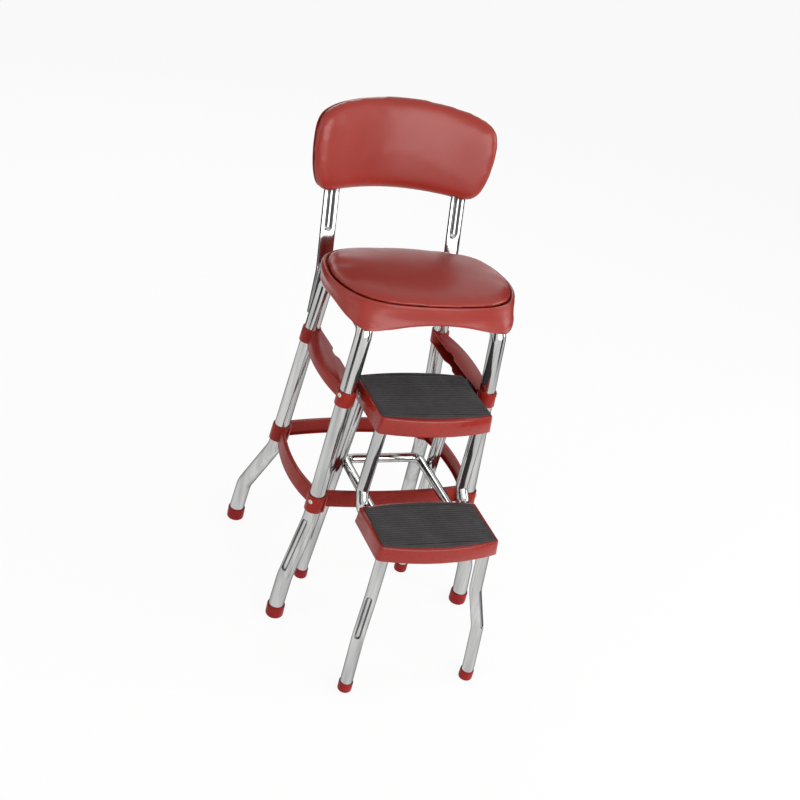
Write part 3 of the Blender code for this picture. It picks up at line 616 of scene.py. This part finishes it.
# -----------------------------------------------------------------------------
# Seat skirt. Red vinyl drawn over a pressed steel pan: it rolls over a soft shoulder, falls to
# a hem that dips at the two front corners, and is turned in and up underneath.
seat_corners = 168
pan_top_z = 0.6330
seam_half = [(0.0000, -0.1870), (0.0600, -0.1842), (0.1040, -0.1760), (0.1400, -0.1570), (0.1640, -0.1250),
             (0.1745, -0.0860), (0.1725, -0.0480), (0.1645, -0.0150), (0.1475, 0.0090), (0.1170, 0.0270),
             (0.0700, 0.0375), (0.0000, 0.0410)]
hem_half = [(0.0000, -0.1890, 0.6072), (0.0500, -0.1890, 0.6040), (0.0950, -0.1890, 0.5970),
            (0.1330, -0.1840, 0.5930), (0.1570, -0.1540, 0.6015), (0.1690, -0.1070, 0.6100),
            (0.1695, -0.0600, 0.6070), (0.1620, -0.0210, 0.6040), (0.1445, 0.0040, 0.6040),
            (0.1150, 0.0225, 0.6040), (0.0680, 0.0330, 0.6040), (0.0000, 0.0365, 0.6040)]
crease_in = 0.0085            # from the seat's edge in to the crease beside the cushion
crease_front_share = 0.62     # how much of that is lost along the front edge
crease_front_y, crease_ease = -0.1250, 0.0450
crease_blend = 0.0400         # how far into the cushion the shift still shows
# (distance in, height above the pan) from the crease over the shoulder to the top of the skirt
shoulder = [(0.0105, 0.0010), (crease_in, 0.0022), (0.0074, 0.0046), (0.0056, 0.0059), (0.0036, 0.0057),
            (0.0018, 0.0040), (0.0006, 0.0012), (0.0000, -0.0022)]
# (share of the way down, distance in) of the skirt, which is drawn in slightly halfway
skirt_fall = [(0.14, -0.0002), (0.30, 0.0004), (0.50, 0.0009), (0.70, 0.0008), (0.86, 0.0002), (0.96, 0.0)]
# (distance in, height above the hem) where the vinyl is turned under
hem_turn = [(0.0004, -0.0006), (0.0012, -0.0009), (0.0022, -0.0004), (0.0028, 0.0010), (0.0032, 0.0060)]
pan_ceiling_z, ceiling_in = 0.6295, (0.0034, 0.0120)


def smooth_loop(half, count):
    """An even closed curve through half an outline and its mirror image."""
    half = [Vector(tuple(p) + (0,) * (3 - len(p))) for p in half]
    pts = half + [Vector((-p.x, p.y, p.z)) for p in half[-2:0:-1]]
    n, dense = len(pts), []
    for i in range(n):
        p0, p1, p2, p3 = pts[i - 1], pts[i], pts[(i + 1) % n], pts[(i + 2) % n]
        for t in (k / 24 for k in range(24)):
            dense.append(0.5 * ((2 * p1) + (p2 - p0) * t + (2 * p0 - 5 * p1 + 4 * p2 - p3) * t ** 2
                                + (3 * p1 - p0 - 3 * p2 + p3) * t ** 3))
    return [dense[round(k * len(dense) / count) % len(dense)] for k in range(count)]


def drawn_in(loop, distance):
    """The loop moved inwards in plan. It runs counter-clockwise seen from above."""
    out = []
    for i, p in enumerate(loop):
        run = (loop[(i + 1) % len(loop)] - loop[i - 1]).to_2d().normalized()
        out.append(Vector((p.x - run.y * distance, p.y + run.x * distance, p.z)))
    return out


def at_level(loop, z):
    return [Vector((p.x, p.y, z)) for p in loop]


def beside_crease(loop, distance):
    """The loop moved inwards, less so along the front, where the crease lies nearer the edge."""
    beyond = (distance - crease_in) / crease_blend
    part = distance / crease_in if distance < crease_in else max(0.0, 1 - beyond)
    nearer = drawn_in(loop, distance - crease_in * crease_front_share * part)
    out = []
    for p, q in zip(drawn_in(loop, distance), nearer):
        out.append(p.lerp(q, soft_step((crease_front_y - p.y) / crease_ease)))
    return out


seam = smooth_loop(seam_half, seat_corners)
hem = smooth_loop(hem_half, seat_corners)
red_vinyl, tree, shader, coords = new_finish("red_vinyl")
shader.inputs["Specular IOR Level"].default_value = 0.20
shader.inputs["Coat Weight"].default_value = 0.45
shader.inputs["Coat Roughness"].default_value = 0.25
shaded(tree, shader, coords, 5.0, (0.248, 0.017, 0.010), (0.285, 0.023, 0.014))
gloss_drift(tree, shader, coords, 22.0, 0.36, 0.46)
fine = noise_bump(tree, shader, coords, 1100.0, (1, 1, 1), 0.16, 0.0002, 3.0)
noise_bump(tree, shader, coords, 60.0, (1, 1, 1), 0.10, 0.0008, 2.0, below=fine)
under_board = worked_finish("under_seat_board", (18.0, (0.030, 0.028, 0.026), (0.050, 0.046, 0.042)),
                            (90.0, 0.70, 0.90), (700.0, 0.3, 0.0003))

bm = bmesh.new()
rows = [at_level(beside_crease(seam, distance), pan_top_z + above) for distance, above in shoulder]
top_of_skirt = at_level(seam, pan_top_z + shoulder[-1][1])
rows += [drawn_in([a.lerp(b, share) for a, b in zip(top_of_skirt, hem)], distance)
         for share, distance in skirt_fall]
rows += [[p + Vector((0, 0, above)) for p in drawn_in(hem, distance)] for distance, above in hem_turn]
rows += [at_level(drawn_in(seam, distance), pan_ceiling_z) for distance in ceiling_in]
skin(bm, rows)
skirt = settle("seat_skirt", bm, red_vinyl, "chair_frame", "seat_pan", edge_angle=60)
skirt.data.materials.append(under_board)
for face in skirt.data.polygons:
    if abs(face.center.z - pan_ceiling_z) < 0.0004 and abs(face.normal.z) > 0.9:
        face.material_index = 1


# -----------------------------------------------------------------------------
# Seat cushion. A foam pad under red vinyl, tight and low, tucked down into the crease inside
# the shoulder. It is swelled a little as cloth, so that the vinyl lies over the foam.
cushion_corners = 120
# (distance in from the seam, height above the pan) from the pad's foot to its crown
cushion_rise = [(0.0135, 0.0014), (0.0088, 0.0034), (0.0068, 0.0066), (0.0080, 0.0100), (0.0140, 0.0118),
                (0.0210, 0.0144), (0.0340, 0.0168), (0.0560, 0.0188), (0.0800, 0.0200)]
cushion_crown = 0.0206
cushion_held = 0.0040         # up to this height above the pan the pad's foot stays put
pad_voxel, pad_rounds = 0.0045, 9
swell_frames, swell_pressure, swell_cap = 20, 4.0, 0.0010


def inflate(piece, pinned):
    """Remesh a closed pad, swell it as cloth with each point kept near its start, and ease it."""
    scene = bpy.context.scene
    bpy.context.view_layer.objects.active = piece
    remesh = piece.modifiers.new("even_mesh", 'REMESH')
    remesh.mode = 'VOXEL'
    remesh.voxel_size = pad_voxel
    bpy.ops.object.select_all(action='DESELECT')
    piece.select_set(True)
    bpy.ops.object.modifier_apply(modifier=remesh.name)
    start = [v.co.copy() for v in piece.data.vertices]
    hold = piece.vertex_groups.new(name="held")
    hold.add([i for i, p in enumerate(start) if pinned(p)], 1.0, 'REPLACE')
    cloth = piece.modifiers.new("cloth", 'CLOTH')
    cloth.settings.quality = 6
    cloth.settings.mass = 0.3
    cloth.settings.tension_stiffness = cloth.settings.compression_stiffness = 40
    cloth.settings.bending_stiffness = 4.0
    cloth.settings.use_pressure = True
    cloth.settings.uniform_pressure_force = swell_pressure
    cloth.settings.vertex_group_mass = hold.name
    cloth.settings.effector_weights.gravity = 0
    cloth.point_cache.frame_start, cloth.point_cache.frame_end = 1, swell_frames
    for number in range(1, swell_frames + 1):
        scene.frame_set(number)
    ready = piece.evaluated_get(bpy.context.evaluated_depsgraph_get())
    moved = [v.co.copy() for v in ready.data.vertices]
    piece.modifiers.remove(cloth)
    for v, a, b in zip(piece.data.vertices, start, moved):
        step = b - a
        v.co = a + (step if step.length <= swell_cap else step * (swell_cap / step.length))
    scene.frame_set(1)
    bm = bmesh.new()
    bm.from_mesh(piece.data)
    for _ in range(pad_rounds):          # evens out the stepping that the remesh leaves
        bmesh.ops.smooth_vert(bm, verts=bm.verts[:], factor=0.5, use_axis_x=True, use_axis_y=True,
                              use_axis_z=True)
    for f in bm.faces:
        f.smooth = True
    bm.to_mesh(piece.data)
    bm.free()


def smooth_once(piece):
    finer = piece.modifiers.new("smooth", 'SUBSURF')
    finer.levels = finer.render_levels = 1


loop = smooth_loop(seam_half, cushion_corners)
bm = bmesh.new()
skin(bm, [at_level(beside_crease(loop, distance), pan_top_z + above) for distance, above in cushion_rise],
     last_pole=Vector((0, sum(p.y for p in loop) / len(loop), pan_top_z + cushion_crown)))
cushion = settle("seat_pad", bm, red_vinyl, "chair_frame", "seat_cushion")
inflate(cushion, lambda p: p.z < pan_top_z + cushion_held)
smooth_once(cushion)


# -----------------------------------------------------------------------------
# Backrest posts. Two chromed steel strips with a channel rolled down the front, bolted behind
# the rear legs at the foot and running up inside the backrest at the top.
post_x = 0.1250
post_half_w, post_half_t = 0.0140, 0.0030
post_low_z, post_top_z, post_turn_z = 0.4920, 0.8000, 0.7120
post_lean, back_lean = 0.285, 0.150
back_ref_z, post_ref_y = 0.7160, 0.0990       # a height, and how far back the strip is there
post_play = 0.0003
post_foot_y = rear_leg[2][1] + leg_r + post_play + post_half_t
post_bend_z = back_ref_z - (post_ref_y - post_foot_y) / post_lean
post_turn_y = post_ref_y + post_lean * (post_turn_z - back_ref_z)
channel_half_w, channel_deep = 0.0080, 0.0032
channel_end_z, channel_fade = 0.6450, 0.0090
channel_steps = 16
post_round = 0.0012
post_bend_r, post_step = 0.0500, 0.0025
bolt_z, bolt_r, bolt_high = 0.5350, 0.0060, 0.0040
# how far a painted dark reflection darkens the strip's colour: at its edges, in the channel and more on its
# slopes
edge_painted_reflection, channel_painted_reflection, slope_painted_reflection = 0.75, 0.35, 0.60


def post_section(depth):
    """Outline of the strip, front face first, with its hollow channel at a given depth."""
    w, t, r = post_half_w, post_half_t, post_round
    front = [(-w + r, -t)]
    for k in range(channel_steps + 1):
        share = -1 + 2 * k / channel_steps
        front.append((share * channel_half_w, -t + depth * (0.5 + 0.5 * math.cos(math.pi * share)) ** 0.7))
    front.append((w - r, -t))
    s = r * 0.3
    return front + [(w - s, -t + s), (w, -t + r), (w, t - r), (w - s, t - s), (w - r, t), (0.0, t),
                    (-w + r, t), (-w + s, t - s), (-w, t - r), (-w, -t + r), (-w + s, -t + s)]


for word, side in both_sides:
    x = side * post_x
    post_top_y = post_turn_y + back_lean * (post_top_z - post_turn_z)
    line = rounded_line([(x, post_foot_y, post_low_z), (x, post_foot_y, post_bend_z),
                         (x, post_turn_y, post_turn_z), (x, post_top_y, post_top_z)], post_bend_r)
    stations = spaced(line, step=post_step)
    shares = [max(0.0, min(1.0, (p.z - channel_end_z) / channel_fade)) for p in stations]
    outlines = [post_section(channel_deep * soft_step(t)) for t in shares]
    bm = bmesh.new()
    painted_dark_reflection(bm)
    across = Vector((1, 0, 0))
    rings = skin(bm, [[p + across * u + heading(stations, i).cross(across) * v for u, v in outlines[i]]
                      for i, p in enumerate(stations)])
    # paint the dark reflection into the strip's colour point by point: along its edges, and in the channel
    # more on its slopes
    for ring, outline, t in zip(rings, outlines, shares):
        for corner, (u, v) in zip(ring, outline):
            if abs(u) < channel_half_w and v < 0 and u:
                tone = t * (channel_painted_reflection + slope_painted_reflection * math.sin(math.pi * abs(u) / channel_half_w))
            else:
                tone = edge_painted_reflection if abs(u) > post_half_w - post_round / 2 else 0.0
            corner[painted_dark_reflection(bm)] = tone
    settle(f"back_strip_{word}", bm, chrome, "chair_frame", f"back_post_{word}", edge_angle=60)
    screw_head(f"post_bolt_head_{word}", f"post_bolt_{word}",
               (x, post_foot_y + post_half_t + post_play, bolt_z), (0, 1, 0), bolt_r, bolt_high,
               "chair_frame", cross=False)


# -----------------------------------------------------------------------------
# Backrest pad. Foam under red vinyl, bent to a shallow curve, full in front and drawn round a
# hard edge at the back. It is swelled as cloth too, held along that edge.
back_surface_y, back_bow, back_half_w = 0.1225, 0.0430, 0.1758
back_half = [(0.0000, 0.7195), (0.0500, 0.7185), (0.0900, 0.7165), (0.1200, 0.7150), (0.1425, 0.7165),
             (0.1575, 0.7270), (0.1680, 0.7510), (0.1740, 0.7820), (0.1758, 0.8120), (0.1735, 0.8385),
             (0.1620, 0.8575), (0.1360, 0.8695), (0.1000, 0.8765), (0.0500, 0.8815), (0.0000, 0.8830)]
back_corners = 150
# (distance in, depth behind the pad's middle surface) from the pad's back face round to its front
pad_wrap = [(0.0300, 0.0070), (0.0080, 0.0070), (0.0036, 0.0066), (0.0012, 0.0048), (0.0002, 0.0020),
            (0.0, -0.0015), (0.0006, -0.0055), (0.0028, -0.0098), (0.0070, -0.0128), (0.0140, -0.0148),
            (0.0260, -0.0162), (0.0420, -0.0172)]
pad_middle = -0.0180
shell_wrap = [(0.0330, 0.0073), (0.0062, 0.0073), (0.0046, 0.0078), (0.0040, 0.0090), (0.0052, 0.0104),
              (0.0090, 0.0114), (0.0180, 0.0122), (0.0420, 0.0128)]
shell_middle = 0.0132
flat_shares, crown_shares = (0.33, 0.66), (0.85, 0.66, 0.33)      # where rings lie on the two faces
pad_held = 0.0020             # from this far in front of the middle surface back, the pad stays put


def on_back(x, z, depth):
    """A point of the backrest: across, up, and behind its middle surface."""
    y = back_surface_y + back_lean * (z - back_ref_z) - back_bow * (x / back_half_w) ** 2
    normal = Vector((2 * back_bow * x / back_half_w ** 2, 1, -back_lean)).normalized()
    return Vector((x, y, z)) + normal * depth


back_loop = smooth_loop(back_half, back_corners)
back_heart = sum(p.y for p in back_loop) / len(back_loop)


def back_shape(wrap, middle):
    """Wrap the backrest's outline from its flat side round to the crowned one."""
    bm = bmesh.new()
    rows = [[on_back(p.x, p.y, depth) for p in drawn_in(back_loop, distance)] for distance, depth in wrap]
    flat, last = drawn_in(back_loop, wrap[0][0]), drawn_in(back_loop, wrap[-1][0])

    def towards_middle(loop, share, depth):
        return [on_back(p.x * share, back_heart + (p.y - back_heart) * share, depth) for p in loop]

    inner = [towards_middle(flat, share, wrap[0][1]) for share in flat_shares]
    outer = [towards_middle(last, share, wrap[-1][1] + (middle - wrap[-1][1]) * (1 - share ** 2))
             for share in crown_shares]
    skin(bm, inner + rows + outer, on_back(0, back_heart, wrap[0][1]), on_back(0, back_heart, middle))
    return bm


pad = settle("back_pad", back_shape(pad_wrap, pad_middle), red_vinyl, "chair_frame",
             "backrest_pad")


def behind_edge(p):
    """True for the pad's back half, which is glued to its board and stays put."""
    y = p.y - datum_y
    surface = back_surface_y + back_lean * (p.z - back_ref_z) - back_bow * (p.x / back_half_w) ** 2
    return y > surface - pad_held


inflate(pad, behind_edge)
smooth_once(pad)
shell = settle("back_shell", back_shape(shell_wrap, shell_middle), red_vinyl, "chair_frame",
               "backrest_cover")
smooth_once(shell)


# -----------------------------------------------------------------------------
# Step trays. Two pressed steel pans in red enamel, open below, with an apron that spreads a
# little and a soft top edge. The lower one is notched at the back for the tubes under it.
tray_t = 0.0018
tray_enamel = worked_finish("tray_enamel", enamel_tone, (40.0, 0.24, 0.34), enamel_grain,
                            Specular_IOR_Level=0.22, Coat_Weight=0.35, Coat_Roughness=0.10)
for level in ("upper", "lower"):
    softened(f"{level}_tray_steel", f"{level}_tray", tray_enamel, "step_unit", 0.0007)


# -----------------------------------------------------------------------------
# Treads. Black rubber mats moulded with fine ribs across and a plain border. They are glued to
# the tops of the two trays.
tread_t, tread_play = 0.0026, 0.0003
tread_corner, tread_edge_points = 0.0035, 28
tread_border = 0.0035         # plain border round the ribs
soft_high, soft_in = 0.0008, 0.0007
rib_pitch, rib_w, rib_high, rib_slope = 0.0060, 0.0033, 0.0006, 0.0005
treads = {"upper": (0.4730, dict(front_w=0.1020, front_y=-0.2595, front_bow=0.0090,
                                 rear_w=0.1010, rear_y=-0.1323, rear_bow=0.0093)),
          "lower": (0.2980, dict(front_w=0.1065, front_y=-0.3830, front_bow=0.0118,
                                 rear_w=0.1035, rear_y=-0.2820, rear_bow=0.0110))}
black_rubber = worked_finish("black_rubber", (26.0, (0.036, 0.033, 0.034), (0.048, 0.045, 0.046)),
                             (80.0, 0.62, 0.80), (1200.0, 0.25, 0.0002), Specular_IOR_Level=0.30)


def mat_outline(front_w, front_y, front_bow, rear_w, rear_y, rear_bow):
    """Plan of a mat, counter-clockwise from its front left corner, with small round corners."""
    spread = [-1 + 2 * k / tread_edge_points for k in range(tread_edge_points + 1)]
    front = [Vector((front_w * s, front_y - front_bow * (1 - s * s), 0)) for s in spread]
    back = [Vector((-rear_w * s, rear_y + rear_bow * (1 - s * s), 0)) for s in spread]
    plan, out = front + back, []
    for i, p in enumerate(plan):
        if 0 < i < tread_edge_points or tread_edge_points + 1 < i < len(plan) - 1:
            out.append(p)
            continue
        a = p + (plan[i - 1] - p).normalized() * tread_corner
        b = p + (plan[(i + 1) % len(plan)] - p).normalized() * tread_corner
        out += round_corner(a, p, b, 6)
    return out


for level, (tray_top, size) in treads.items():
    plan = mat_outline(**size)
    low = tray_top + tread_play
    deck = low + tread_t - rib_high
    bm = bmesh.new()
    ring = first_ring(bm, at_level(plan, low))
    close_ring(bm, ring)
    ring = grow(bm, ring, at_level(plan, deck - soft_high))
    ring = grow(bm, ring, at_level(drawn_in(plan, soft_in), deck))
    ring = grow(bm, ring, at_level(drawn_in(plan, tread_border), deck))
    field = bmesh.ops.contextual_create(bm, geom=ring)["faces"]
    near, far = min(v.co.y for v in ring), max(v.co.y for v in ring)
    count = int((far - near) / rib_pitch)
    starts = [near + (far - near - count * rib_pitch) / 2 + rib_pitch * (k + 0.5) - rib_w / 2
              for k in range(count)]
    for cut in [y + step for y in starts for step in (0, rib_w)]:
        parts = {f for f in field if f.is_valid}
        geom = list(parts | {e for f in parts for e in f.edges} | {v for f in parts for v in f.verts})
        made = bmesh.ops.bisect_plane(bm, geom=geom, dist=1e-6, plane_co=(0, cut, 0), plane_no=(0, 1, 0))
        field = [f for f in made["geom"] if isinstance(f, bmesh.types.BMFace)]
    ribs = [f for f in field if any(y < f.calc_center_median().y < y + rib_w for y in starts)]
    bmesh.ops.inset_individual(bm, faces=ribs, thickness=rib_slope, use_even_offset=True)
    bmesh.ops.translate(bm, vec=(0, 0, rib_high), verts=list({v for f in ribs for v in f.verts}))
    settle(f"{level}_tread_mat", bm, black_rubber, "step_unit", f"{level}_tread",
           edge_angle=25)


# -----------------------------------------------------------------------------
# Step legs and mid tubes. Thinner chromed tube: the front legs are troughed like the chair's,
# the rear legs run straight, and the mid tubes bend forwards to carry the lower tray.
step_r, step_sides = 0.0111, 80
step_bend_r, mid_bend_r = 0.055, 0.022
step_tip_r, step_tip_high = 0.0127, 0.0200
step_trough, step_trough_turn = (0.1820, 0.1180), 0.8
step_trough_half_w, step_trough_depth, step_trough_wall = 0.0064, 0.0032, 0.0024
under_play = 0.0003
under_upper, under_lower = (tray_top - tray_t - under_play for tray_top, size in treads.values())
run_z = under_lower - step_r
step_front = [(0.0935, -0.3720, under_lower), (0.0995, -0.3780, 0.1850), (0.1145, -0.3975, 0.1150),
              (0.1180, -0.4040, 0.0300), (0.1180, -0.4040, tube_low_z)]
step_rear = [(0.0872, -0.1426, under_upper), (0.1055, -0.0970, 0.0300), (0.1055, -0.0970, tube_low_z)]
mid_tube = [(0.0907, -0.2480, under_upper), (0.0958, -0.2430, 0.3100), (0.0980, -0.2620, run_z),
            (0.0875, -0.3300, run_z)]
for word, side in both_sides:
    for row, points in (("front", step_front), ("rear", step_rear)):
        bm = bmesh.new()
        line = rounded_line(mirrored(points[:-1], side), step_bend_r)
        line.append(Vector(mirrored(points[-1:], side)[0]))
        trough = step_trough if row == "front" else None
        tube_shape(bm, spaced(line, trough), step_r, step_sides, True, True)
        if trough:
            press_trough(bm, points, side, trough, step_trough_turn, step_trough_half_w,
                         step_trough_depth, step_trough_wall)
        settle(f"step_leg_{row}_{word}_tube", bm, chrome, "step_unit", f"step_leg_{row}_{word}",
               edge_angle=50)
        foot_cap(f"step_tip_{row}_{word}", f"step_foot_{row}_{word}", (side * points[-1][0], points[-1][1]),
                 step_r, step_tip_r, step_tip_high, "step_unit")
    bm = bmesh.new()
    tube_shape(bm, spaced(rounded_line(mirrored(mid_tube, side), mid_bend_r)), step_r, step_sides, True)
    settle(f"mid_tube_{word}_chrome", bm, chrome, "step_unit", f"mid_tube_{word}", edge_angle=50)


# -----------------------------------------------------------------------------
# Tube brace. A length of chromed tube bent to a U behind the lower tread. Its arms lie along the
# rear step legs and end beside the mid tubes, under the tray.
brace_r, brace_z = 0.0087, 0.2770
brace_back_y, brace_end_y = -0.1020, -0.2850
brace_bend_r, brace_sides = 0.018, 64
rear_at = leg_place(step_rear, brace_z)
forward = (brace_end_y - mid_tube[2][1]) / (mid_tube[3][1] - mid_tube[2][1])
beside_leg = rear_at.x - step_r - under_play - brace_r
beside_mid = (mid_tube[2][0] + (mid_tube[3][0] - mid_tube[2][0]) * forward
              - math.sqrt((step_r + brace_r + 2 * under_play) ** 2 - (run_z - brace_z) ** 2))


def brace_arm(y):
    """A point of the brace's right arm."""
    share = (y - rear_at.y) / (brace_end_y - rear_at.y)
    return (beside_leg + (beside_mid - beside_leg) * share, y, brace_z)


arm = [brace_arm(brace_end_y), brace_arm(brace_back_y)]
bm = bmesh.new()
tube_shape(bm, spaced(rounded_line(mirrored(arm, -1) + arm[::-1], brace_bend_r)), brace_r, brace_sides)
settle("brace_tube", bm, chrome, "step_unit", "step_brace", edge_angle=50)


# -----------------------------------------------------------------------------
# Guide rollers and rivets. Dark nylon wheels on studs ride in the upper side rails, and a bright
# rivet beside each fixes its bracket to the tray.
tray_side_w, tray_spread, tray_depth, tray_edge = 0.1045, 0.0030, 0.0300, 0.0025
roller_y, roller_z = -0.1330, upper_rail_z
roller_in, roller_out, roller_wheel_r, roller_stud_r = 0.1122, 0.1222, 0.0102, 0.0042
rim_soft, groove_deep, hub_r, hub_sunk = 0.0012, 0.0010, 0.0036, 0.0008
rivet_y, rivet_drop, rivet_r, rivet_high = -0.1640, 0.0180, 0.0046, 0.0018
dark_nylon = worked_finish("dark_nylon", (200.0, (0.035, 0.035, 0.036), (0.060, 0.060, 0.062)),
                           (300.0, 0.42, 0.60), (800.0, 0.1, 0.0002))


def apron_x(drop):
    """Half width of the upper tray's apron at a drop below its top."""
    return tray_side_w + tray_spread * (drop - tray_edge) / (tray_depth - tray_edge)


for word, side in both_sides:
    bm = bmesh.new()
    wheel = roller_out - roller_in
    base = apron_x(treads["upper"][0] - roller_z + roller_stud_r) + under_play
    stud = roller_in - base
    rim, end = roller_wheel_r, stud + wheel
    turned_shape(bm, [(0, 0), (roller_stud_r, 0), (roller_stud_r, stud), (rim - rim_soft, stud),
                      (rim, stud + rim_soft), (rim, stud + wheel * 0.35),
                      (rim - groove_deep, stud + wheel * 0.42), (rim - groove_deep, stud + wheel * 0.58),
                      (rim, stud + wheel * 0.65), (rim, end - rim_soft), (rim - rim_soft, end),
                      (hub_r, end), (hub_r - 0.0006, end - hub_sunk), (0, end - hub_sunk)],
                 (side * base, roller_y, roller_z), (side, 0, 0), 40)
    settle(f"guide_wheel_{word}", bm, dark_nylon, "step_unit", f"guide_roller_{word}",
           edge_angle=35)
    out = Vector((side, 0, tray_spread / (tray_depth - tray_edge))).normalized()
    spot = Vector((side * apron_x(rivet_drop), rivet_y, treads["upper"][0] - rivet_drop)) + out * under_play
    screw_head(f"rivet_head_{word}", f"rivet_{word}", spot, out, rivet_r, rivet_high, "step_unit",
               cross=False)
